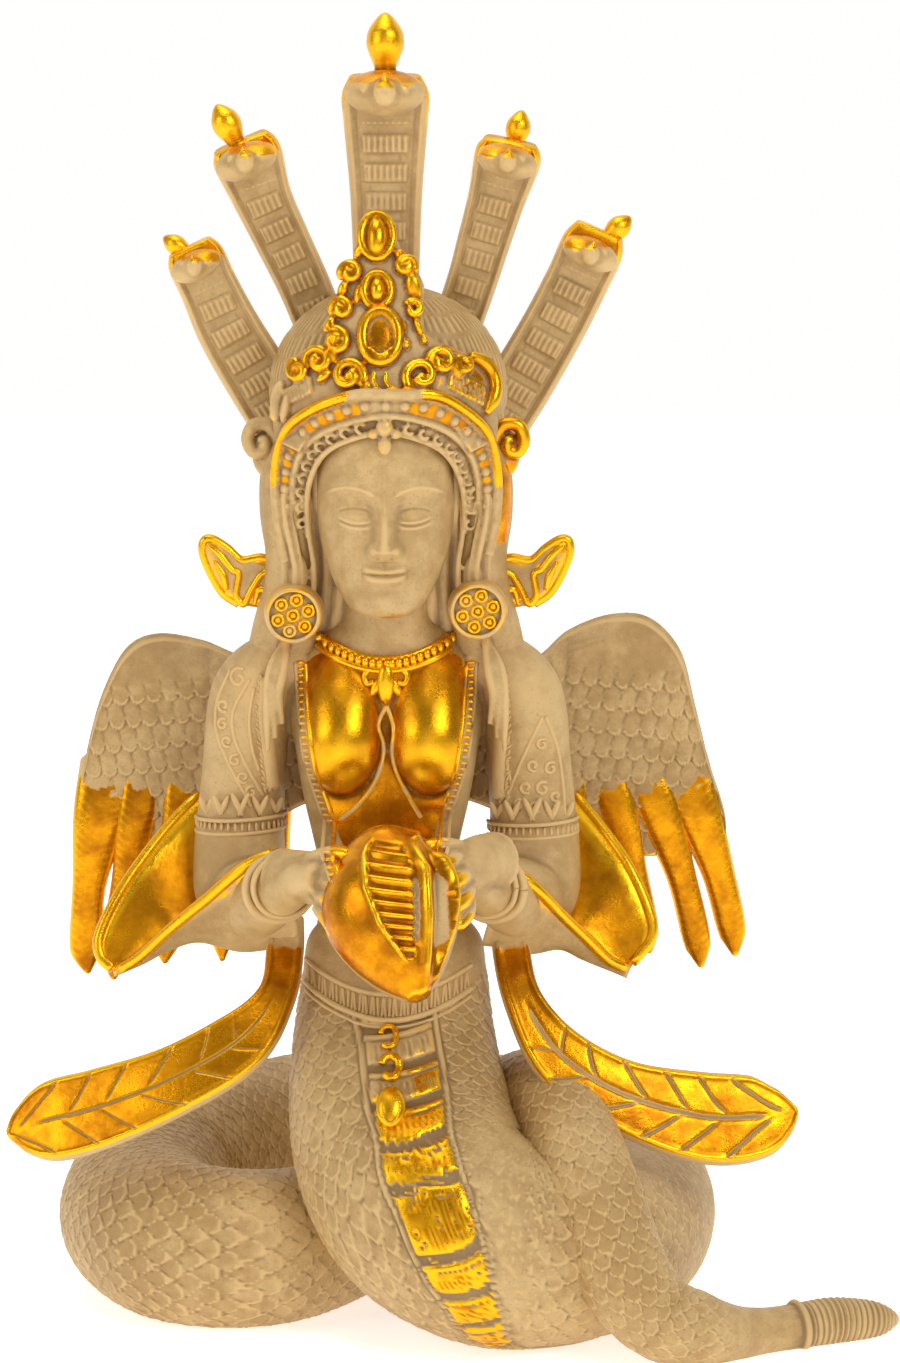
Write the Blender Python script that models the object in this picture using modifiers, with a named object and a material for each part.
"""Naga maiden: a cast brass statue of a serpent maiden with wings and five cobra hoods.

The whole statue is one casting. It faces -Y, +X is the viewer's right and +Z is up.
Figure coordinates below are shares of the height: x, y and z in 320ths of it, with z
counted up from the ground that the coils and the tail are levelled to.
"""

import math

import bmesh
import bpy
import numpy as np
from mathutils import Matrix, Vector

# Driving sizes, in metres
STATUE_HEIGHT = 0.320
HOOD_THICKNESS = 0.0060
HOOD_RIM = 0.0018
HOOD_PLATE = 0.0013
HOOD_HEAD_BITE = 0.0016
WING_THICKNESS = 0.0036
FEATHER_THICKNESS = 0.0040
SLEEVE_WALL = 0.0022
SASH_THICKNESS = 0.0046
CROWN_THICKNESS = 0.0050
SCROLL_RADIUS = 0.0012
BEAD_RADIUS = 0.0011
BORDER_RADIUS = 0.0010
BELLY_PLATE_RELIEF = 0.0008

# How many facets round and along each form
BODY_SIDES = 14
COLUMN_RINGS = 28
LOBE_RINGS = 35
LIMB_SIDES = 10
MOST_FACETS = 9700

MM = STATUE_HEIGHT / 320.0
FRONT = Vector((0.0, -1.0, 0.0))


def clear_scene():
    for obj in list(bpy.data.objects):
        bpy.data.objects.remove(obj, do_unlink=True)


def new_collection(name, hidden):
    found = bpy.data.collections.new(name)
    bpy.context.scene.collection.children.link(found)
    found.hide_render = hidden
    return found


def paint():
    """Beige paint over brass, the finish of most of the surface."""
    made = bpy.data.materials.new("painted_brass")
    made.use_nodes = True
    shader = made.node_tree.nodes["Principled BSDF"]
    shader.inputs["Base Color"].default_value = (0.51, 0.38, 0.21, 1.0)
    shader.inputs["Metallic"].default_value = 0.2
    shader.inputs["Roughness"].default_value = 0.45
    return made


clear_scene()
STATUE = new_collection("naga_maiden_statue", False)
FORMS = new_collection("forms", True)


def add_mesh(name, points, faces):
    """A closed form made from points in figure coordinates."""
    mesh = bpy.data.meshes.new(name)
    mesh.from_pydata([tuple(Vector(p) * MM) for p in points], [], faces)
    tidy = bmesh.new()
    tidy.from_mesh(mesh)
    bmesh.ops.remove_doubles(tidy, verts=tidy.verts, dist=0.00001)
    bmesh.ops.triangulate(tidy, faces=tidy.faces)
    bmesh.ops.recalc_face_normals(tidy, faces=tidy.faces)
    tidy.to_mesh(mesh)
    tidy.free()
    obj = bpy.data.objects.new(name, mesh)
    FORMS.objects.link(obj)
    obj.hide_render = True
    return obj


def loft(name, rings):
    """Skin over rings of equal count, with a fan of faces at each end."""
    count = len(rings[0])
    points = [p for ring in rings for p in ring]
    faces = []
    for row in range(len(rings) - 1):
        for i in range(count):
            j = (i + 1) % count
            a = row * count
            b = a + count
            faces.append((a + i, a + j, b + j, b + i))
    for row in (0, len(rings) - 1):
        if count <= 5:
            faces.append(tuple(row * count + i for i in range(count)))
            continue
        middle = sum((Vector(p) for p in rings[row]), Vector()) / count
        points.append(middle)
        hub = len(points) - 1
        for i in range(count):
            faces.append((row * count + i, row * count + (i + 1) % count, hub))
    return add_mesh(name, points, faces)


def through(stations, count):
    """A smooth run of count stations through the given ones, evenly spaced."""
    given = np.array(stations, float)
    if len(given) < 3:
        share = np.linspace(0, 1, count)[:, None]
        return given[0] * (1 - share) + given[-1] * share
    padded = np.vstack([2 * given[0] - given[1], given, 2 * given[-1] - given[-2]])
    dense = []
    for i in range(len(given) - 1):
        a, b, c, d = padded[i : i + 4]
        for t in np.linspace(0, 1, 24, endpoint=False):
            part = 2 * b + (c - a) * t + (2 * a - 5 * b + 4 * c - d) * t * t
            dense.append(0.5 * (part + (3 * b - a - 3 * c + d) * t**3))
    dense.append(given[-1])
    dense = np.array(dense)
    steps = np.linalg.norm(np.diff(dense[:, :3], axis=0), axis=1)
    along = np.concatenate([[0], np.cumsum(steps)])
    wanted = np.linspace(0, along[-1], count)
    return np.array([np.interp(wanted, along, dense[:, k]) for k in range(given.shape[1])]).T


def frames(centres, front):
    """A side and a front direction at every centre, carried along without twist."""
    tangents = np.gradient(centres, axis=0)
    tangents /= np.linalg.norm(tangents, axis=1)[:, None]
    facing = np.array(front, float)
    out = []
    for tangent in tangents:
        facing = facing - tangent * facing.dot(tangent)
        facing /= np.linalg.norm(facing)
        out.append((np.cross(tangent, facing), facing.copy()))
    return out


def sweep(name, stations, count, sides, front=FRONT, section=None):
    """A limb, coil or blade. A station is x, y, z, half width and half depth."""
    run = through(stations, count)
    rings = []
    for row, (side, facing) in zip(run, frames(run[:, :3], front)):
        if section:
            flat = section(row[3], row[4])
        else:
            angles = [2 * math.pi * (k + 0.5) / sides for k in range(sides)]
            flat = [(row[3] * math.cos(a), row[4] * math.sin(a)) for a in angles]
        rings.append([Vector(row[:3] + side * s + facing * d) for s, d in flat])
    return loft(name, rings)


def tube(name, path, radius, count, sides=5, front=FRONT):
    """A round cord of relief through the path."""
    stations = [(*p, radius, radius) for p in path]
    return sweep(name, stations, count, sides, front)


def finished(obj, matrix):
    """Put a primitive's shape in place and move it in with the other forms."""
    obj.data.transform(matrix)
    obj.matrix_world = Matrix.Identity(4)
    for home in list(obj.users_collection):
        home.objects.unlink(obj)
    FORMS.objects.link(obj)
    obj.hide_render = True
    return obj


def ring_of_relief(name, at, wide, tall, thick, lean=0.0, around=10):
    """An oval hoop that faces the front, sizes in figure units."""
    bpy.ops.mesh.primitive_torus_add(
        major_segments=around, minor_segments=4, major_radius=1, minor_radius=0.2,
    )
    obj = bpy.context.object
    obj.name = name
    for vertex in obj.data.vertices:
        x, y, z = vertex.co
        out = math.hypot(x, y)
        across = (out - 1) / 0.2 * thick
        angle = math.atan2(y, x)
        depth = z / 0.2 * thick
        vertex.co = ((wide + across) * math.cos(angle), -depth, (tall + across) * math.sin(angle))
    place = Matrix.Translation(Vector(at) * MM) @ Matrix.Rotation(lean, 4, "X")
    made = finished(obj, place @ Matrix.Diagonal((MM, MM, MM, 1.0)))
    tidy = bmesh.new()
    tidy.from_mesh(made.data)
    bmesh.ops.recalc_face_normals(tidy, faces=tidy.faces)
    tidy.to_mesh(made.data)
    tidy.free()
    return made


def ellipsoid(name, at, radii, segments=12, rings=7, turn=(0, 0, 0)):
    bpy.ops.mesh.primitive_uv_sphere_add(segments=segments, ring_count=rings, radius=1)
    obj = bpy.context.object
    obj.name = name
    place = Matrix.Translation(Vector(at) * MM)
    turned = Matrix.Rotation(turn[2], 4, "Z") @ Matrix.Rotation(turn[1], 4, "Y")
    turned = turned @ Matrix.Rotation(turn[0], 4, "X")
    size = Matrix.Diagonal((*(Vector(radii) * MM), 1.0))
    return finished(obj, place @ turned @ size)


def bead(name, at, radius):
    """A small round of relief, radius in figure units."""
    bpy.ops.mesh.primitive_uv_sphere_add(segments=4, ring_count=2, radius=1.15)
    obj = bpy.context.object
    obj.name = name
    size = Matrix.Diagonal((radius * MM, radius * MM, radius * MM, 1.0))
    return finished(obj, Matrix.Translation(Vector(at) * MM) @ size)


def baked(obj):
    """The object's evaluated shape as a plain closed mesh among the forms."""
    graph = bpy.context.evaluated_depsgraph_get()
    mesh = bpy.data.meshes.new_from_object(obj.evaluated_get(graph))
    name = obj.name
    bpy.data.objects.remove(obj, do_unlink=True)
    tidy = bmesh.new()
    tidy.from_mesh(mesh)
    bmesh.ops.remove_doubles(tidy, verts=tidy.verts, dist=0.00001)
    bmesh.ops.triangulate(tidy, faces=tidy.faces)
    bmesh.ops.recalc_face_normals(tidy, faces=tidy.faces)
    tidy.to_mesh(mesh)
    tidy.free()
    made = bpy.data.objects.new(name, mesh)
    FORMS.objects.link(made)
    made.hide_render = True
    return made


def turned(name, profile, foot, toward, steps=8):
    """A finial: a profile of radius and height turned round an axis."""
    mesh = bpy.data.meshes.new(name)
    points = [(r * MM, 0.0, h * MM) for r, h in profile]
    mesh.from_pydata(points, [(i, i + 1) for i in range(len(points) - 1)], [])
    obj = bpy.data.objects.new(name, mesh)
    bpy.context.scene.collection.objects.link(obj)
    spin = obj.modifiers.new("spin", "SCREW")
    spin.axis = "Z"
    spin.steps = steps
    spin.render_steps = steps
    spin.use_merge_vertices = True
    spin.merge_threshold = 0.00005
    made = baked(obj)
    axis = (Vector(toward) - Vector(foot)).normalized()
    lean = axis.to_track_quat("Z", "Y").to_matrix().to_4x4()
    made.data.transform(Matrix.Translation(Vector(foot) * MM) @ lean)
    return made


def plate(name, outline, thickness, place, creases=()):
    """A flat sheet of metal cut to an outline, then laid on a curved surface.

    The outline is in x and z. place turns x, depth and z into a point, and the
    sheet bends along a crease at each x given.
    """
    curve = bpy.data.curves.new(name, "CURVE")
    curve.dimensions = "2D"
    curve.fill_mode = "BOTH"
    curve.extrude = thickness / 2
    line = curve.splines.new("POLY")
    line.points.add(len(outline) - 1)
    for point, (x, z) in zip(line.points, outline):
        point.co = (x * MM, z * MM, 0.0, 1.0)
    line.use_cyclic_u = True
    obj = bpy.data.objects.new(name, curve)
    bpy.context.scene.collection.objects.link(obj)
    made = baked(obj)
    tidy = bmesh.new()
    tidy.from_mesh(made.data)
    bmesh.ops.dissolve_limit(tidy, angle_limit=0.01, verts=tidy.verts, edges=tidy.edges)
    for crease in creases:
        geometry = list(tidy.verts) + list(tidy.edges) + list(tidy.faces)
        bmesh.ops.bisect_plane(
            tidy, geom=geometry, dist=0.00001, plane_co=(crease * MM, 0, 0), plane_no=(1, 0, 0),
        )
    bmesh.ops.triangulate(tidy, faces=tidy.faces)
    for vertex in tidy.verts:
        x, z, depth = vertex.co
        vertex.co = Vector(place(x / MM, -depth / MM, z / MM)) * MM
    bmesh.ops.recalc_face_normals(tidy, faces=tidy.faces)
    tidy.to_mesh(made.data)
    tidy.free()
    return made


def mirrored(points):
    return [(-p[0], *p[1:]) for p in points]


# The serpent body: waist, column, right lobe and back
COLUMN_PATH = [
    (2, -1, 97, 17.5, 12),
    (2, -2, 91, 21.8, 14.5),
    (2, -6, 80, 23.2, 17),
    (2, -13, 67, 25, 20),
    (3, -22, 55, 26.6, 23),
    (6, -33, 43, 27.6, 24.5),
    (13, -43, 33, 27.2, 25),
    (26, -47, 25.5, 25.2, 25),
    (40, -43, 22, 22.6, 22.6),
    (51, -32, 20.5, 21, 21),
    (59, -15, 19.5, 20.2, 20.2),
    (62.5, 4, 19, 20, 20),
    (62, 22, 19.5, 20.5, 20.5),
    (55, 42, 20.5, 21.5, 21.5),
    (40, 58, 22, 23, 23),
    (20, 67, 22.8, 23.8, 23.8),
    (0, 69, 23, 24, 24),
    (-16, 67.5, 22.8, 22.6, 22.6),
    (-26, 65, 22, 18, 18),
]
# Back, left lobe, then behind the column and up over the front into the tail
LOBE_PATH = [
    (8, 69, 22, 18, 18),
    (-4, 69, 23, 22.8, 22.8),
    (-22, 66, 22.7, 23.8, 23.8),
    (-44, 56, 21, 22, 22),
    (-59, 40, 19.8, 21.2, 21.2),
    (-63, 18, 18.8, 20.3, 20.3),
    (-61.5, -1, 18.5, 20, 20),
    (-52, -19, 18.2, 19.7, 19.7),
    (-36, -25, 17.8, 19.3, 19.3),
    (-20, -17, 17.8, 18.2, 18.2),
    (-4, -2, 21, 16.5, 16.5),
    (12, 9, 31, 14.5, 14.5),
    (25, 7, 42, 12.8, 12.8),
    (34, -2, 50, 11.9, 11.9),
    (38.5, -14, 53.5, 11.6, 11.6),
    (42.5, -27, 52, 11.6, 11.6),
    (46.5, -41, 45, 11.7, 11.7),
    (51.5, -54, 33.5, 11.6, 11.6),
    (57.5, -61, 20.5, 10.8, 10.8),
    (65, -62, 11.5, 10, 10),
    (74, -60.5, 7.8, 9, 9),
    (83, -56, 5.4, 6.9, 6.9),
    (91, -51, 4.4, 5.7, 5.7),
    (99, -47, 4.3, 5.6, 5.6),
    (108, -43, 4.5, 5.9, 5.7),
    (117, -39.5, 4.0, 5.0, 4.8),
    (122.5, -37, 3.4, 3.0, 3.0),
    (125.5, -36, 3.0, 0.9, 0.9),
]


def make_body():
    body = sweep("body", COLUMN_PATH, COLUMN_RINGS, BODY_SIDES)
    sweep("lobe", LOBE_PATH, LOBE_RINGS, BODY_SIDES, (0, 0, 1))
    ring = [(99.1, -47.4, 4.4, 4.8, 4.8), (100, -47, 4.4, 6.6, 6.6), (100.9, -46.6, 4.4, 4.8, 4.8)]
    sweep("tail_collar", ring, 3, 10, (0, 0, 1))
    return body


# Belly band: height on the column, aim of its middle and half width in degrees
BELLY = [
    (82, 0.22, -1.0, 0.1, 27),
    (66, 0.25, -1.0, 0.1, 26),
    (55, 0.28, -1.0, 0.0, 24),
    (43, 0.2, -1.0, -0.05, 22.5),
    (34, 0.1, -1.0, -0.2, 20),
    (28, 0.0, -1.0, -0.45, 17.5),
    (24.5, 0.0, -0.75, -0.8, 15),
]


def make_belly():
    """The plated belly band, which runs down the column and under the turn."""
    run = through(COLUMN_PATH[1:9], 120)
    tangents = np.gradient(run[:, :3], axis=0)
    tangents /= np.linalg.norm(tangents, axis=1)[:, None]
    heights = [row[0] for row in BELLY][::-1]
    lift = BELLY_PLATE_RELIEF / MM
    rings = []
    for start in np.linspace(14, 100, 14):
        for row, rise in ((start, 0.1), (start + 5.6, 1.0)):
            row = int(round(row))
            x, y, z, half, deep = run[row]
            tangent = tangents[row]
            values = [np.interp(z, heights, [b[j] for b in BELLY][::-1]) for j in (1, 2, 3, 4)]
            aim = np.array(values[:3])
            aim -= tangent * aim.dot(tangent)
            aim /= np.linalg.norm(aim)
            across = np.cross(tangent, aim)
            reach = math.radians(values[3])
            ring = []
            for t in (-1, -0.5, 0, 0.5, 1):
                angle = reach * t
                out = aim * math.cos(angle) + across * math.sin(angle)
                flat = math.hypot(out[0] * half, (1 - out[0] ** 2) ** 0.5 * deep)
                ring.append(Vector(run[row][:3] + out * (flat + 0.5 + lift * rise)))
            for t in (1, -1):
                angle = reach * t
                out = aim * math.cos(angle) + across * math.sin(angle)
                ring.append(Vector(run[row][:3] + out * (min(half, deep) * 0.86)))
            rings.append(ring)
    loft("belly_band", rings)


TORSO = [
    (1, 0, 88, 18, 11),
    (0.5, 0, 96, 18.2, 12.2),
    (0, 0, 102, 16.2, 11.5),
    (0, 0, 108, 16.6, 11.3),
    (0, 0, 116, 18.3, 12),
    (0, 0, 128, 21, 12.6),
    (0, 1, 140, 23, 13),
    (0, 2, 151, 25, 13.4),
    (0, 2, 158, 24.5, 13),
    (0, 2, 163, 21.5, 12.2),
    (0, 1.5, 167, 17, 11),
    (0, 1, 172, 11.8, 10),
    (0, 0, 180, 10.4, 10),
    (0, 0, 192, 10.4, 10),
]


def make_torso():
    rings = []
    for x, y, z, half, deep in TORSO:
        ring = []
        for k in range(16):
            a = 2 * math.pi * (k + 0.5) / 16
            square = 1 + 0.06 * math.cos(4 * a)
            ring.append(Vector((x + half * math.cos(a) * square, y + deep * math.sin(a) * square, z)))
        rings.append(ring)
    loft("torso", rings)
    for sign in (-1, 1):
        ellipsoid(f"breast_{sign + 1}", (sign * 10.6, -11, 143), (9.8, 10.5, 9.5), 12, 7)
    belt = [
        (-21, -6, 87), (-15, -13.5, 81), (-6, -18.5, 78), (4, -20, 77), (13, -17.5, 78.5),
        (20, -11.5, 82), (24, -5, 87),
    ]
    sweep("belt", [(*p, 2.0, 1.6) for p in belt], 12, 5, (0, -1, 0.2))
    bead("belt_drop_low", (2.5, -26, 61), 3.0)
    bead("belt_drop_high", (2, -20, 70), 2.0)


def make_arm(sign):
    """Upper arm, bent forearm and the hand that holds the shell."""
    side = "left" if sign < 0 else "right"
    upper = [
        (24, 3, 161, 7, 8),
        (31, 3, 157, 9.5, 10),
        (34, 4, 148, 10.4, 10.8),
        (35.5, 5, 136, 10.5, 10.8),
        (36.5, 6, 124, 10.8, 11),
        (37, 4, 113, 11.4, 11.6),
        (36.5, 0, 103, 11.6, 11.4),
        (34.5, -6, 97, 9.2, 8),
    ]
    fore = [
        (37, 1, 104, 9, 10),
        (34, -8, 102, 9.6, 10.6),
        (30, -17, 105, 8.6, 9.4),
        (26, -26, 108, 7, 7.4),
        (21.5, -34, 111, 5.6, 5.8),
        (18, -40, 113, 5.6, 5),
        (14, -46, 114, 5.4, 4),
    ]
    if sign < 0:
        upper = mirrored(upper)
        fore = mirrored(fore)
    sweep(f"upper_arm_{side}", upper, 9, LIMB_SIDES)
    sweep(f"forearm_{side}", fore, 8, LIMB_SIDES, (0, 0, 1))
    for k in range(2):
        y = -26.5 - 2.4 * k
        x = sign * (26 - 1.2 * k)
        ring = [(x, y + 0.9, 108.2 + k, 6.2, 6.2), (x - sign * 0.5, y, 108.5 + k, 8.1 - k, 8.6 - k)]
        ring.append((x - sign, y - 0.9, 108.8 + k, 6.2, 6.2))
        sweep(f"bracelet_{side}_{k}", ring, 3, LIMB_SIDES, (0, 0, 1))
    for k in range(4):
        z = 117.5 - 3.6 * k
        finger = [
            (sign * 16, -44, 115 - 1.6 * k, 2.1, 2.1),
            (sign * 11.5, -52, z, 2.1, 2.1),
            (sign * (7 if sign < 0 else 12), -55.5, z - 1.5, 1.7, 1.7),
        ]
        sweep(f"finger_{side}_{k}", finger, 3, 5, (0, 0, 1))
    thumb = [
        (sign * 15, -42, 117, 2.4, 2.4), (sign * 10, -47, 121, 2.2, 2.2), (sign * 5, -49, 122, 1.7, 1.7),
    ]
    sweep(f"thumb_{side}", thumb, 3, 5, (0, 0, 1))
    for k, z in enumerate((122.5, 118)):
        ring = []
        for j in range(7):
            a = math.radians(180 + 30 * j)
            ring.append((sign * 36.6 + 11.2 * math.cos(a), 5 + 11.4 * math.sin(a), z - 1.2 * math.sin(a)))
        tube(f"armlet_{side}_{k}", ring, BORDER_RADIUS / MM, 7, 4, (0, 0, 1))


SLEEVES = {
    "left": (
        [(-46, 13, 127), (-56, 8, 117), (-66, 1, 104), (-72, -4, 92), (-71, -6, 86), (-68, -7, 84)],
        [
            (-25, -24, 117), (-34, -24, 113), (-44, -20, 104), (-53, -16, 96), (-61, -11, 88),
            (-67, -8, 84),
        ],
        [(-24, -8, 90), (-36, -7, 89), (-47, -8, 92), (-55, -7, 89), (-62, -6, 85.5), (-68, -6, 82.5)],
    ),
    "right": (
        [(46, 13, 127), (53, 8, 119), (60, 2, 110), (65, -2, 100), (66.5, -4, 92), (61, -6, 85)],
        [(30, -23, 113), (37, -22, 107), (43, -18, 100), (49, -14, 93.5), (55, -10, 87), (60, -7, 84.5)],
        [(25, -9, 91), (36, -8, 89.5), (44, -8, 90.5), (50, -8, 87), (56, -7, 84.5), (60, -6, 82)],
    ),
}


def make_sleeve(side):
    """A wide hanging sleeve whose mouth faces outward, with two turned lips."""
    outer, inner, keel = SLEEVES[side]
    across = 6
    along = 7
    o = through([(*p, 0, 0) for p in outer], along)[:, :3]
    i = through([(*p, 0, 0) for p in inner], along)[:, :3]
    k = through([(*p, 0, 0) for p in keel], along)[:, :3]
    wall = SLEEVE_WALL / MM
    rings = []
    for a in range(along):
        middle = (o[a] + i[a]) / 2
        chord = i[a] - o[a]
        width = np.linalg.norm(chord)
        depth = np.linalg.norm(k[a] - middle)
        pull = middle + 2 * (k[a] - middle)
        lip = chord * min(wall / width, 0.34)
        keep = max(1 - 1.25 * wall / depth, 0.12)
        bowl = middle + 2 * (k[a] - middle) * keep
        ring = []
        for b in range(across):
            t = b / (across - 1)
            ring.append(Vector(o[a] * (1 - t) ** 2 + 2 * pull * t * (1 - t) + i[a] * t * t))
        for b in range(across):
            t = 1 - b / (across - 1)
            ring.append(
                Vector((o[a] + lip) * (1 - t) ** 2 + 2 * bowl * t * (1 - t) + (i[a] - lip) * t * t),
            )
        rings.append(ring)
    loft(f"sleeve_{side}", rings)


SASHES = {
    "left": [
        (-25, -10, 98, 4.6),
        (-25, -14, 90, 4.7),
        (-27, -22, 80, 5.0),
        (-36, -29, 70, 8.2),
        (-52, -31, 61, 9.1),
        (-70, -30, 54, 10.4),
        (-82, -28, 50.5, 10.2),
        (-89, -26.5, 48, 6),
        (-92.5, -26, 46.5, 1.2),
    ],
    "right": [
        (31, -10, 98, 4.6),
        (31, -14, 90, 4.7),
        (34, -23, 79, 5.0),
        (43, -29, 66.5, 7.7),
        (58, -31, 57.5, 9.2),
        (77, -30, 52, 11.4),
        (90, -28.5, 51.5, 10.6),
        (97, -27, 52, 6.5),
        (101, -26, 52.5, 1.2),
    ],
}


def make_sash(side):
    """A ribbon that drops from the forearm and ends in a leaf shape."""
    half = SASH_THICKNESS / 2 / MM
    run = []
    for k, (x, y, z, wide) in enumerate(SASHES[side]):
        thin = half * (1.25 if k < 3 else 0.95 if k < 7 else 0.6)
        run.append((x, y, z, wide, thin))

    def section(wide, thin):
        edge = 0.8 * thin
        return [
            (wide, 0.1 * thin),
            (wide * 0.93, edge),
            (wide * 0.4, 0.75 * thin),
            (0, 1.25 * thin),
            (-wide * 0.4, 0.75 * thin),
            (-wide * 0.93, edge),
            (-wide, 0.1 * thin),
            (-wide * 0.6, -thin),
            (wide * 0.6, -thin),
        ]

    sweep(f"sash_{side}", run, 13, 9, (0, -1, 0.35), section)


def make_shell():
    """The conch: a ridged pear with its point forward and down."""
    run = [
        (-2, -44, 123, 5, 4),
        (-1, -46, 119, 11, 7),
        (1, -49, 113, 15.5, 10),
        (3, -52, 106, 16.6, 11),
        (5, -56, 99, 14, 9.5),
        (7, -60, 93, 8, 6.5),
        (8.5, -63, 89.5, 2, 2.2),
    ]

    def section(wide, deep):
        return [
            (wide, 0.1 * deep),
            (wide * 0.86, 0.62 * deep),
            (wide * 0.5, 0.8 * deep),
            (wide * 0.16, 1.1 * deep),
            (-wide * 0.2, 0.95 * deep),
            (-wide * 0.6, 0.7 * deep),
            (-wide * 0.9, 0.3 * deep),
            (-wide, -0.1 * deep),
            (-wide * 0.6, -0.8 * deep),
            (0, -deep),
            (wide * 0.6, -0.8 * deep),
        ]

    sweep("shell", run, 10, 11, FRONT, section)
    ridge = [(-3, -52, 124), (3, -58, 118), (6, -62, 110), (8, -65, 100), (8.5, -65, 92)]
    tube("shell_ridge", ridge, 1.5, 6)
    rim = [(14, -50, 121), (19, -52, 114), (20.5, -53, 106), (17, -56, 98), (11, -61, 92)]
    tube("shell_lip", rim, 1.5, 6)
    for k in range(6):
        z = 119.5 - 3.5 * k
        rib = [(-6 + 0.6 * k, -53.5 - 0.8 * k, z), (1.5 + 0.7 * k, -58.5 - 0.9 * k, z - 0.6)]
        tube(f"shell_rib_{k}", rib, 1.15, 2, 4)


def make_head():
    rings = []
    profile = [
        (173.5, -17, 3, 3),
        (175, -15, 7.5, 8.2),
        (178.5, -11, 11, 12.5),
        (184, -7.5, 13.6, 16),
        (191, -5.5, 15.6, 17.6),
        (198, -4.5, 16.7, 18.4),
        (206, -4, 17, 19),
        (213, -4, 16.4, 18.8),
        (220, -3, 14, 17),
        (226, -1, 9, 12),
    ]
    for z, y, half, deep in profile:
        ring = []
        for k in range(16):
            a = 2 * math.pi * (k + 0.5) / 16
            ring.append(Vector((half * math.cos(a), y + deep * math.sin(a), z)))
        rings.append(ring)
    loft("head", rings)
    nose = [
        (0, -22.3, 201.5, 1.5, 1.5), (0, -24.3, 196, 1.8, 2.0), (0, -25.6, 191.2, 2.9, 2.4),
        (0, -23, 189.4, 2.4, 1.5),
    ]
    sweep("nose", nose, 5, 6)
    for sign in (-1, 1):
        brow = [(2.5, -22.6, 202.6), (6, -22.2, 205), (10, -19.6, 205.2), (13.5, -15.2, 203.2)]
        tube(f"brow_{sign + 1}", brow if sign > 0 else mirrored(brow), 0.7, 4, 4)
        ellipsoid(f"eyelid_{sign + 1}", (sign * 7.0, -19.2, 199.3), (4.3, 3.2, 2.3), 8, 6)
        ear = [(19.5, -3, 204), (21.8, -5, 201), (22, -6.5, 194), (21, -8, 186), (21, -9, 181)]
        sweep(f"ear_{sign + 1}", [(sign * x, y, z, 2.6, 1.7) for x, y, z in ear], 5, 5)
    ellipsoid("upper_lip", (0, -21.6, 185.4), (4.6, 2.6, 1.0), 8, 6)
    ellipsoid("lower_lip", (0, -21.2, 183.4), (3.8, 2.7, 1.3), 8, 6)
    ellipsoid("chin", (0, -18.6, 178.2), (4.8, 4.2, 3.4), 8, 6)


def make_hair():
    ellipsoid("hair_dome", (0.5, 8, 228), (29.5, 21, 26), 20, 10)
    back = [
        (0, 6, 232, 25, 19),
        (0, 5, 221, 28.5, 19.5),
        (0, 5, 208, 29, 17.5),
        (0, 5.5, 196, 28, 15),
        (0, 6, 184, 27.6, 12.5),
        (0, 6.5, 176, 29, 11),
        (0, 8, 168, 30, 10),
        (0, 9, 158, 27, 9.5),
        (0, 10, 146, 19, 8),
        (0, 12, 132, 14, 6.5),
        (0, 12, 118, 9, 4.5),
    ]
    sweep("hair_back", back, 12, 12)
    for sign in (-1, 1):
        lock = [
            (sign * 19, -13, 207, 2.0, 2.0), (sign * 21, -9, 198, 1.8, 1.8), (sign * 22.5, -5, 188, 2, 2),
            (sign * 25, -4, 176, 2, 2),
        ]
        sweep(f"lock_{sign + 1}", lock, 5, 5)
        side = "left" if sign < 0 else "right"
        disc = [(sign * 22.5, y, 174, r, r) for y, r in ((-5, 6.8), (-13.4, 7.0), (-15.2, 5.6))]
        sweep(f"ear_disc_{side}", disc, 3, 12, (0, 0, 1))
        for k in range(7):
            a = math.pi / 3 * k
            out = 0 if k == 6 else 4.1
            bead(
                f"disc_bead_{side}_{k}",
                (sign * 22.5 + out * math.cos(a), -15.2, 174 + out * math.sin(a)),
                1.6,
            )
        flag = [
            (21, 176), (27, 184), (31, 186.5), (36, 184.5), (41.5, 190.5), (45, 190.5), (44, 184),
            (40.5, 177.5), (36, 174.5), (30, 174),
        ]
        flag = [(sign * x, z) for x, z in flag]
        plate(f"ear_flag_{side}", flag, 4.4 * MM, lambda x, d, z: (x, 3.5 + d, z))
        wave = [(44, 188.5), (41.5, 181.5), (38.5, 178), (37.5, 182.5), (34, 184), (32.2, 180), (32, 177)]
        tube(f"flag_wave_{side}", [(sign * x, 1.2, z) for x, z in wave], SCROLL_RADIUS / MM, 9, 4)


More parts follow.
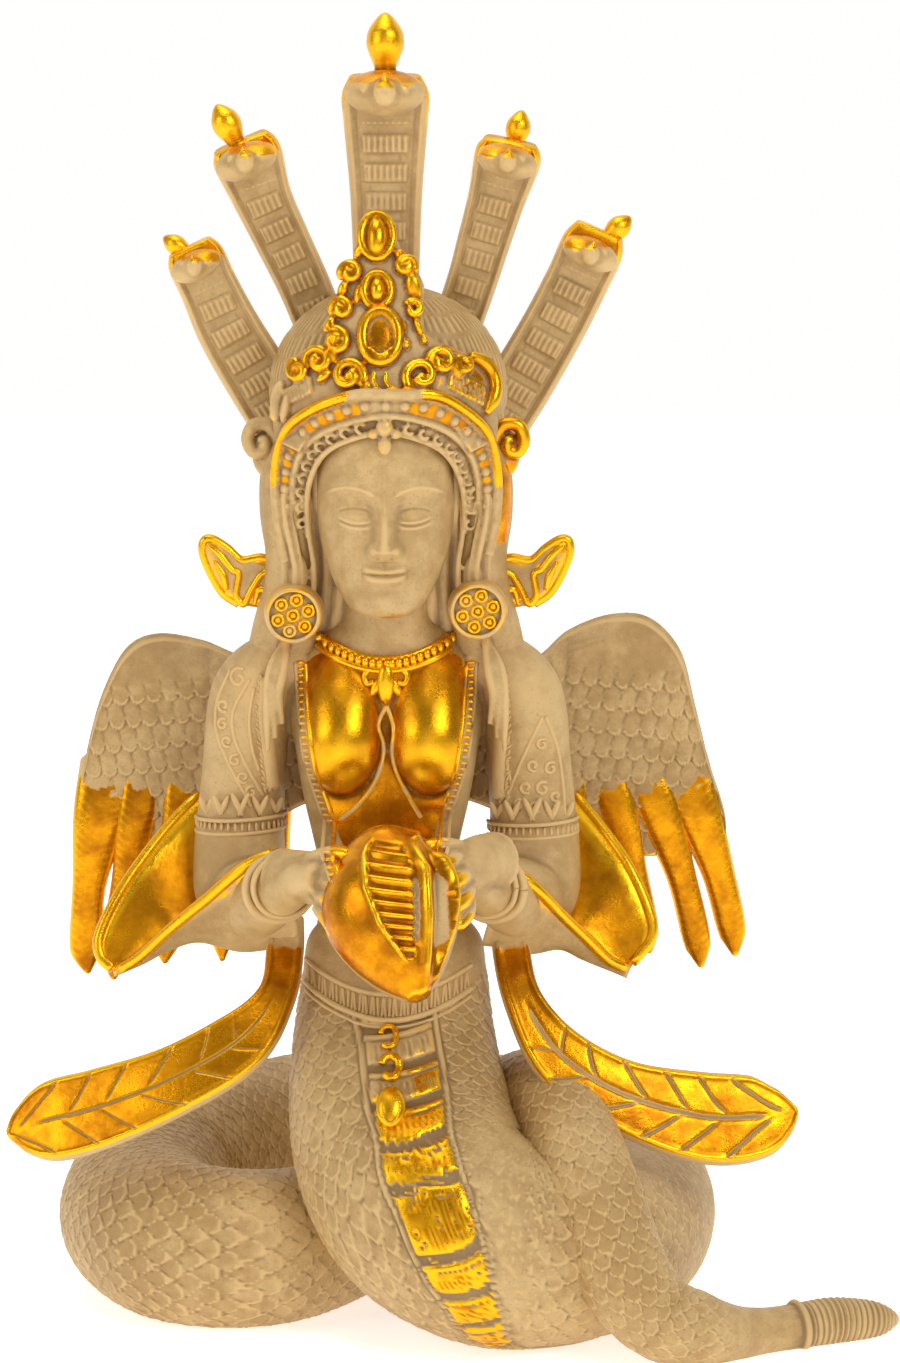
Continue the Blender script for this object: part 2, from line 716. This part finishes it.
HOODS = {
    "middle": (
        [
            (0, 17, 232, 7.6), (0, 14, 250, 8.0), (0, 9, 274, 8.8), (0, 4, 292, 10.2), (0, 1, 300, 10.7),
            (0, -1, 305, 8.6),
        ],
        (0, 300.5),
    ),
    "left_inner": (
        [
            (-13, 19, 234, 6.4), (-20, 15, 252, 6.5), (-26, 12, 265, 6.8), (-30.5, 8, 275, 7.3),
            (-34, 4, 285, 8.6), (-35.7, 2, 289, 7),
        ],
        (-34, 284),
    ),
    "right_inner": (
        [
            (14, 19, 234, 6.2), (20.5, 15, 252, 6.2), (24.4, 12, 265, 6.6), (27.3, 8, 275, 7.1),
            (30, 4, 285, 8.2), (30.8, 2, 289, 6.6),
        ],
        (29.8, 284),
    ),
    "left_outer": (
        [
            (-17, 12, 202, 7.0), (-23, 16, 214, 7.8), (-31, 16, 228, 8.4), (-39, 12, 242, 8.0),
            (-44, 9, 253, 7.3), (-47, 6, 260, 7.2), (-48.6, 5, 263.5, 5.5),
        ],
        (-46.8, 258.5),
    ),
    "right_outer": (
        [
            (18, 12, 202, 7.0), (24.5, 16, 214, 7.8), (33, 16, 228, 8.1), (41.5, 12, 243, 7.9),
            (47.5, 9, 255, 7.8), (51, 6, 263, 7.8), (53, 5, 267.5, 6),
        ],
        (50.3, 261.5),
    ),
}
FINIALS = {
    "middle": ((0, 0, 303.5), (0, 0, 320), 1.0),
    "left_inner": ((-35.5, 3, 286.5), (-41.5, 3, 297.8), 0.78),
    "right_inner": ((31.2, 7, 286), (33.6, 8, 296.5), 0.66),
    "left_outer": ((-47.5, 6, 260.5), (-55, 7, 265.5), 0.54),
    "right_outer": ((53, 6, 263.8), (60.4, 6, 270.4), 0.62),
}


def make_hood(side):
    """A cobra hood: a dished blade with ladder plates, a hooked head and a finial."""
    run, snout = HOODS[side]
    half = HOOD_THICKNESS / 2 / MM
    rim = HOOD_RIM / MM
    raised = HOOD_PLATE / MM

    def section(wide, deep):
        return [
            (wide, 0),
            (wide * 0.97, deep),
            (wide * 0.78, deep),
            (wide * 0.68, deep - rim),
            (-wide * 0.68, deep - rim),
            (-wide * 0.78, deep),
            (-wide * 0.97, deep),
            (-wide, 0),
            (-wide * 0.75, -deep * 0.9),
            (wide * 0.75, -deep * 0.9),
        ]

    stations = [(*row, half) for row in run[:-1]]
    stations.append((*run[-1], half * 0.8))
    sweep(f"hood_{side}", stations, 7, 10, FRONT, section)
    smooth = through([row for row in stations], 30)
    sides = frames(smooth[:, :3], FRONT)
    for k in range(4):
        row = 9 + 4 * k
        x, y, z, wide, deep = smooth[row]
        across, facing = sides[row]
        along = smooth[row + 1][:3] - smooth[row - 1][:3]
        along /= np.linalg.norm(along)
        rings = []
        for rise in (-1.7, 1.7):
            ring = []
            for s, d in ((-0.52, -rim), (-0.52, raised), (0.52, raised), (0.52, -rim)):
                spot = np.array((x, y, z)) + across * wide * s + facing * (deep - rim + d)
                ring.append(Vector(spot + along * rise))
            rings.append(ring)
        loft(f"hood_plate_{side}_{k}", rings)
    tilt = math.atan2(run[-1][0] - run[-3][0], run[-1][2] - run[-3][2])
    big = run[-2][3] / HOODS["middle"][0][-2][3]
    blade_y = np.interp(snout[1], [row[2] for row in run], [row[1] for row in run])
    head_y = blade_y - half + rim + HOOD_HEAD_BITE / MM - 7.6 * big
    middle = (snout[0], head_y, snout[1])
    ellipsoid(f"hood_head_{side}", middle, (9.6 * big, 7.6 * big, 5.4 * big), 10, 6, (0.25, tilt, 0))
    nose = (snout[0], head_y - 6.4 * big, snout[1] + 0.2)
    ellipsoid(f"hood_snout_{side}", nose, (3.0 * big, 3.0 * big, 3.2 * big), 6, 4)


def make_finial(side):
    """The onion knop on a hood, its size a share of the middle one's."""
    foot, tip, share = FINIALS[side]
    length = (Vector(tip) - Vector(foot)).length
    reach = length / 16.5
    profile = [(0, 0), (3.2, 0.4), (3.1, 3), (4.5, 7.4), (4.6, 10.4), (3.6, 13.4), (1.7, 15.8), (0, 16.5)]
    turned(f"finial_{side}", [(r * share, h * reach) for r, h in profile], foot, tip)


def brow_line(x, z):
    """Depth of the crown's front face at a place on it."""
    return -25.0 + 0.36 * max(z - 228, 0) + 0.0165 * x * x


def scroll(name, x, z, radius, hand, start=90):
    """A spiral of gold relief on the crown, small ones only a comma."""
    thick = SCROLL_RADIUS / MM
    inner = max(0.28 * radius, 0.62 * thick)
    turns = 1.1 if radius > 2.4 * thick else 0.75
    path = []
    for k in range(9):
        share = k / 8
        a = math.radians(start + hand * 360 * turns * share)
        r = radius + (inner - radius) * share
        px = x + r * math.cos(a)
        pz = z + r * math.sin(a)
        path.append((px, brow_line(px, pz) + 0.1, pz))
    tube(name, path, thick, 8 if turns > 1 else 6, 4)


def make_crown():
    outline = [
        (-27.5, 214), (-28, 226), (-26.5, 233), (-23, 237), (-20, 240.5), (-15, 241.5),
        (-13, 244.5), (-12.5, 251), (-11, 257), (-8.5, 261), (-7, 266), (-5, 270.5), (-2, 273),
        (1, 270.5), (3.4, 266), (5, 262), (8.5, 259.5), (10.5, 255), (10, 249), (10.5, 243.5),
        (14, 241.5), (19, 239.5), (24, 236.5), (27.5, 232), (28.5, 224), (28, 215), (24, 219),
        (18.5, 223), (9, 227), (0, 227.5), (-9, 226), (-18.5, 223), (-24, 218),
    ]
    half = CROWN_THICKNESS / 2 / MM
    creases = (-22, -15, -8, 0, 8, 15, 22)
    plate(
        "crown_plaque", outline, CROWN_THICKNESS, lambda x, d,
        z: (x, brow_line(x, z) + half + 0.4 + d, z), creases,
    )
    ellipsoid("crown_backing", (0, -9, 238), (20, 13, 12.5), 12, 7)
    scrolls = [
        (-9.5, 232.8, 3.7, 1, 60), (8, 233, 3.7, -1, 120), (-16, 236, 2.9, -1, 60), (
            -11.5, 241, 2.4, 1, 120,
        ),
        (-22, 232, 2.5, 1, 60), (14.5, 236.4, 3.0, 1, 120), (21, 234.5, 2.5, -1, 60), (
            -9.5, 249, 2.2, 1, 90,
        ),
        (-8, 257, 2.4, -1, 90), (4.6, 259, 2.1, 1, 90), (7.6, 253.6, 2.1, -1, 90), (
            7.4, 247.4, 2.0, 1, 90,
        ),
        (25, 226.5, 2.6, 1, 60),
    ]
    for k, (x, z, radius, hand, start) in enumerate(scrolls):
        scroll(f"crown_scroll_{k}", x, z, radius, hand, start)
    ellipsoid("crown_drop", (-2, brow_line(0, 266), 266), (2.4, 2.2, 4.6), 8, 6)
    ellipsoid("crown_arch_gem", (-1.8, brow_line(0, 253), 253.2), (1.7, 1.8, 2.9), 8, 6)
    for name, x, z, wide, tall in (
        ("top", -2, 266, 4.2, 5.8), ("arch", -1.8, 253, 3.2, 4.4), ("big", -1, 242, 4.2, 6.6),
        ("eye", -1, 242, 2.2, 3.4),
    ):
        thick = (1.6 if name == "big" else 1.0) * SCROLL_RADIUS / MM
        around = 12 if name == "big" else 8
        ring_of_relief(f"crown_ring_{name}", (x, brow_line(x, z), z), wide, tall, thick, -0.34, around)
    arcs = {
        "rim": (
            [
                (-26.5, -6, 208), (-26, -10, 214), (-23.5, -15, 219.5), (-19, -20, 223.5),
                (-12, -23.6, 226.8), (-5, -25.2, 228.3), (4, -25.2, 228), (12, -23.6, 228),
                (18, -20, 225), (24, -15, 219.5), (26.5, -10, 213), (27, -6, 207),
            ],
            1.5,
        ),
        "inner": (
            [
                (-22.5, -5, 200), (-22.3, -10, 208), (-19.8, -15.4, 214.5), (-14.5, -20, 219),
                (-7, -23, 221.8), (0, -24, 223), (7, -23, 222.2), (14.5, -20, 219.4),
                (19.8, -15.4, 214.5), (22.3, -10, 208), (22.5, -5, 200),
            ],
            0.9,
        ),
        "hairline": (
            [
                (-19.3, -6, 198), (-18.5, -11, 206), (-15.5, -16.5, 212.5), (-10, -20.6, 216.5),
                (0, -23, 219), (10, -20.6, 216.5), (15.5, -16.5, 212.5), (18.5, -11, 206),
                (19.3, -6, 198),
            ],
            0.9,
        ),
    }
    for name, (path, radius) in arcs.items():
        tube(f"diadem_{name}", path, radius, 13, 4, (0, 0, 1))
    outer = through([(*p, 0, 0) for p in arcs["rim"][0]], 40)[:, :3]
    inner = through([(*p, 0, 0) for p in arcs["inner"][0]], 40)[:, :3]
    rings = []
    for row in range(0, 40, 4):
        a, b = Vector(outer[row]), Vector(inner[row])
        back = Vector((-0.1 * a.x, 13, 0))
        rings.append([a, b, b + back, a + back])
    loft("diadem_band", rings)
    for k in range(13):
        row = 3 + int(round(k * 33 / 12))
        spot = Vector(outer[row]) * 0.45 + Vector(inner[row]) * 0.55
        bead(f"diadem_bead_{k}", spot + Vector((0, -0.3, 0)), BEAD_RADIUS / MM * 1.15)
    ellipsoid("brow_gem_high", (0, -23.4, 220), (2.0, 2.2, 2.3), 6, 4)
    ellipsoid("brow_gem_low", (0, -22.4, 215.6), (1.9, 2.2, 2.2), 6, 4)
    for sign in (-1, 1):
        side = "left" if sign < 0 else "right"
        curl = [
            (26, 210), (25, 216), (28, 220.5), (32.5, 220.5), (34.8, 217), (34.5, 212), (31, 207.5),
            (27, 206),
        ]
        plate(
            f"ear_scroll_{side}", [(sign * x, z) for x, z in curl], 6 * MM, lambda x, d,
            z: (x, -2 + d, z),
        )


def make_collar():
    neck = [
        (-15.5, -5.2, 167.2), (-12, -8, 165), (-6, -9.8, 163), (0, -10.4, 162.2), (6, -9.8, 163),
        (12, -8, 165), (15.5, -5.2, 167.2),
    ]
    tube("neck_cord", neck, BORDER_RADIUS / MM * 1.2, 9, 4, (0, 0, 1))
    run = through([(*p, 0, 0) for p in neck], 13)
    for k, row in enumerate(run):
        bead(f"neck_bead_{k}", row[:3] + np.array((0, -0.8, 0)), BEAD_RADIUS / MM * 1.3)
    ellipsoid("pendant", (0, -12.2, 156.6), (2.0, 2.2, 5.2), 6, 5)
    for sign in (-1, 1):
        side = "left" if sign < 0 else "right"
        border = [
            (18.8, -5.6, 162), (19.5, -8.6, 152), (18.5, -12.2, 142), (15.5, -10.6, 132),
            (12, -10.2, 122), (8.5, -10.2, 112),
        ]
        tube(
            f"bodice_border_{side}", [(sign * x, y, z) for x, y, z in border], BORDER_RADIUS / MM * 1.25,
            9, 4,
        )


LEFT_FEATHERS = [
    [(-71, 134, 7), (-74.5, 116, 6.4), (-77.5, 98, 4.6), (-78.5, 82, 3.4), (-78, 75, 1.5)],
    [(-62, 134, 5), (-65, 116, 4.8), (-67.5, 100, 4.4), (-70.5, 82, 3.3), (-71.5, 73.5, 1.5)],
    [(-52, 134, 5), (-53.5, 116, 4.6), (-55, 100, 3.8), (-57.5, 84, 3.0), (-58, 78, 1.4)],
    [(-41, 134, 5), (-42, 116, 4.4), (-42.5, 100, 3.4), (-43, 86, 2.6), (-43, 79, 1.2)],
    [(-30, 134, 5), (-29.5, 120, 4.2), (-28.5, 109, 3.4), (-27.5, 100, 2.2), (-27, 95, 1.2)],
]
RIGHT_FEATHERS = [
    [(74, 134, 6.6), (79.5, 118, 5.6), (85, 102, 4.7), (88.5, 88, 3.6), (89.8, 79.5, 1.6)],
    [(63, 134, 5.4), (69.5, 118, 5), (75.5, 101, 4.2), (79.5, 85, 3.2), (81, 76.5, 1.5)],
    [(54, 132, 5), (59, 118, 4.6), (63, 103, 3.9), (66.5, 88, 3.0), (67.5, 80.5, 1.4)],
    [(44, 134, 5), (47, 118, 4.4), (50.5, 102, 3.4), (53, 90, 2.6), (54, 84, 1.2)],
    [(32, 134, 5), (32.5, 120, 4.2), (32, 110, 3.4), (31, 102, 2.2), (30.5, 97, 1.2)],
]
WINGS = {
    "left": (
        [
            (-5, 152), (-24, 156), (-38, 159), (-48, 162.5), (-59, 164), (-67, 160.5), (-73, 150),
            (-77, 137), (-79.5, 122), (-78, 108), (-70, 106), (-62, 107), (-52, 105), (-44, 106),
            (-34, 110), (-24, 120), (-5, 128),
        ],
        LEFT_FEATHERS,
    ),
    "right": (
        [
            (5, 152), (24, 156), (37, 158), (46, 165), (57, 169), (67, 168), (75, 159.5), (79, 145),
            (82.5, 131), (87, 116), (84, 106), (78, 108), (70, 106), (60, 106), (50, 106), (40, 110),
            (26, 120), (5, 128),
        ],
        RIGHT_FEATHERS,
    ),
}


def wing_depth(x):
    """How far behind the torso the wing lies at a distance from the axis."""
    return 11 + 21 * min(abs(x) / 46, 1) ** 0.9 + 0.08 * max(abs(x) - 46, 0)


def make_wing(side):
    outline, feathers = WINGS[side]
    sign = -1 if side == "left" else 1
    thick = WING_THICKNESS
    creases = [sign * x for x in (15, 25, 35, 46)]
    plate(f"wing_{side}", outline, thick, lambda x, d, z: (x, wing_depth(x) + d, z), creases)
    half = FEATHER_THICKNESS / 2 / MM

    def section(wide, deep):
        return [
            (wide, 0.2 * deep), (wide * 0.5, deep), (-wide * 0.5, deep), (-wide, 0.2 * deep),
            (-wide * 0.7, -deep), (wide * 0.7, -deep),
        ]

    for k, run in enumerate(feathers):
        stations = [(x, wing_depth(x) - 1.0, z, wide, half) for x, z, wide in run]
        stations[-1] = (*stations[-1][:4], half * 0.6)
        sweep(f"feather_{side}_{k}", stations, 5, 6, FRONT, section)
    lift = 0 if side == "left" else 3
    for row in range(5):
        z = 152.5 + lift - 5.6 * row
        inside = 40
        outside = (60, 66, 70, 72, 73.5)[row] + (0 if side == "left" else 2)
        count = int((outside - inside) / 6.6)
        for k in range(count + 1):
            x = outside - 6.4 * k - (3.2 if row % 2 else 0)
            if x < inside:
                continue
            y = wing_depth(x) - thick / 2 / MM
            tip = [(x - 3.0, z + 3.2), (x + 3.0, z + 3.2), (x + 2.2, z - 2.6), (x - 2.2, z - 2.6)]
            rings = [[Vector((sign * a, y + 1.0, b)) for a, b in tip]]
            rings.append([Vector((sign * a, y + 0.1 - 0.25 * (z + 3.2 - b), b)) for a, b in tip])
            loft(f"covert_{side}_{row}_{k}", rings)


def without_voids(mesh):
    """Fill the small sealed gaps that are left where several forms meet."""
    tidy = bmesh.new()
    tidy.from_mesh(mesh)
    bmesh.ops.triangulate(tidy, faces=tidy.faces)
    seen = set()
    for face in list(tidy.faces):
        if face in seen:
            continue
        shell = [face]
        seen.add(face)
        for member in shell:
            for edge in member.edges:
                for other in edge.link_faces:
                    if other not in seen:
                        seen.add(other)
                        shell.append(other)
        volume = 0.0
        for member in shell:
            a, b, c = (vert.co for vert in member.verts)
            volume += a.dot(b.cross(c)) / 6
        if volume < 1e-10:
            bmesh.ops.delete(tidy, geom=shell, context="FACES")
    tidy.to_mesh(mesh)
    tidy.free()
    return mesh


def evaluated_mesh(obj):
    bpy.context.view_layer.update()
    graph = bpy.context.evaluated_depsgraph_get()
    return bpy.data.meshes.new_from_object(obj.evaluated_get(graph))


def fuse(body):
    """Join every form into one casting, level its foot and centre it on the origin."""
    FORMS.objects.unlink(body)
    STATUE.objects.link(body)
    join = body.modifiers.new("join", "BOOLEAN")
    join.operation = "UNION"
    join.operand_type = "COLLECTION"
    join.collection = FORMS
    join.solver = "MANIFOLD"
    mesh = without_voids(evaluated_mesh(body))
    whole = len(mesh.polygons)
    for obj in list(bpy.data.objects):
        bpy.data.objects.remove(obj, do_unlink=True)
    statue = bpy.data.objects.new("naga_maiden", mesh)
    STATUE.objects.link(statue)
    lighter = statue.modifiers.new("lighter", "DECIMATE")
    lighter.ratio = min(1.0, MOST_FACETS / whole)
    bpy.ops.mesh.primitive_cube_add(size=1)
    ground = bpy.context.object
    ground.name = "ground"
    ground.data.transform(Matrix.Diagonal((2 * STATUE_HEIGHT, 2 * STATUE_HEIGHT, STATUE_HEIGHT, 1.0)))
    ground.data.transform(Matrix.Translation((0, 0, -STATUE_HEIGHT / 2)))
    ground.hide_render = True
    cut = statue.modifiers.new("level", "BOOLEAN")
    cut.operation = "DIFFERENCE"
    cut.object = ground
    cut.solver = "MANIFOLD"
    statue.data = evaluated_mesh(statue)
    statue.modifiers.clear()
    bpy.data.objects.remove(ground, do_unlink=True)
    mesh = statue.data
    points = np.array([v.co[:] for v in mesh.vertices])
    low, high = points.min(axis=0), points.max(axis=0)
    mesh.transform(Matrix.Translation((-(low[0] + high[0]) / 2, -(low[1] + high[1]) / 2, -low[2])))
    mesh.materials.clear()
    mesh.materials.append(paint())
    print(
        "box in mm", np.round(low * 1000, 2), np.round(high * 1000, 2), "facets", whole,
        len(mesh.polygons),
    )


def count_forms():
    totals = {}
    for obj in FORMS.objects:
        key = obj.name.split("_")[0]
        totals[key] = totals.get(key, 0) + len(obj.data.polygons)
    print("facets by form", sum(totals.values()), totals)


def main():
    body = make_body()
    make_belly()
    make_torso()
    for sign in (-1, 1):
        make_arm(sign)
    for side in ("left", "right"):
        make_sleeve(side)
        make_sash(side)
        make_wing(side)
    make_shell()
    make_head()
    make_hair()
    for side in HOODS:
        make_hood(side)
        make_finial(side)
    make_crown()
    make_collar()
    count_forms()
    fuse(body)


main()
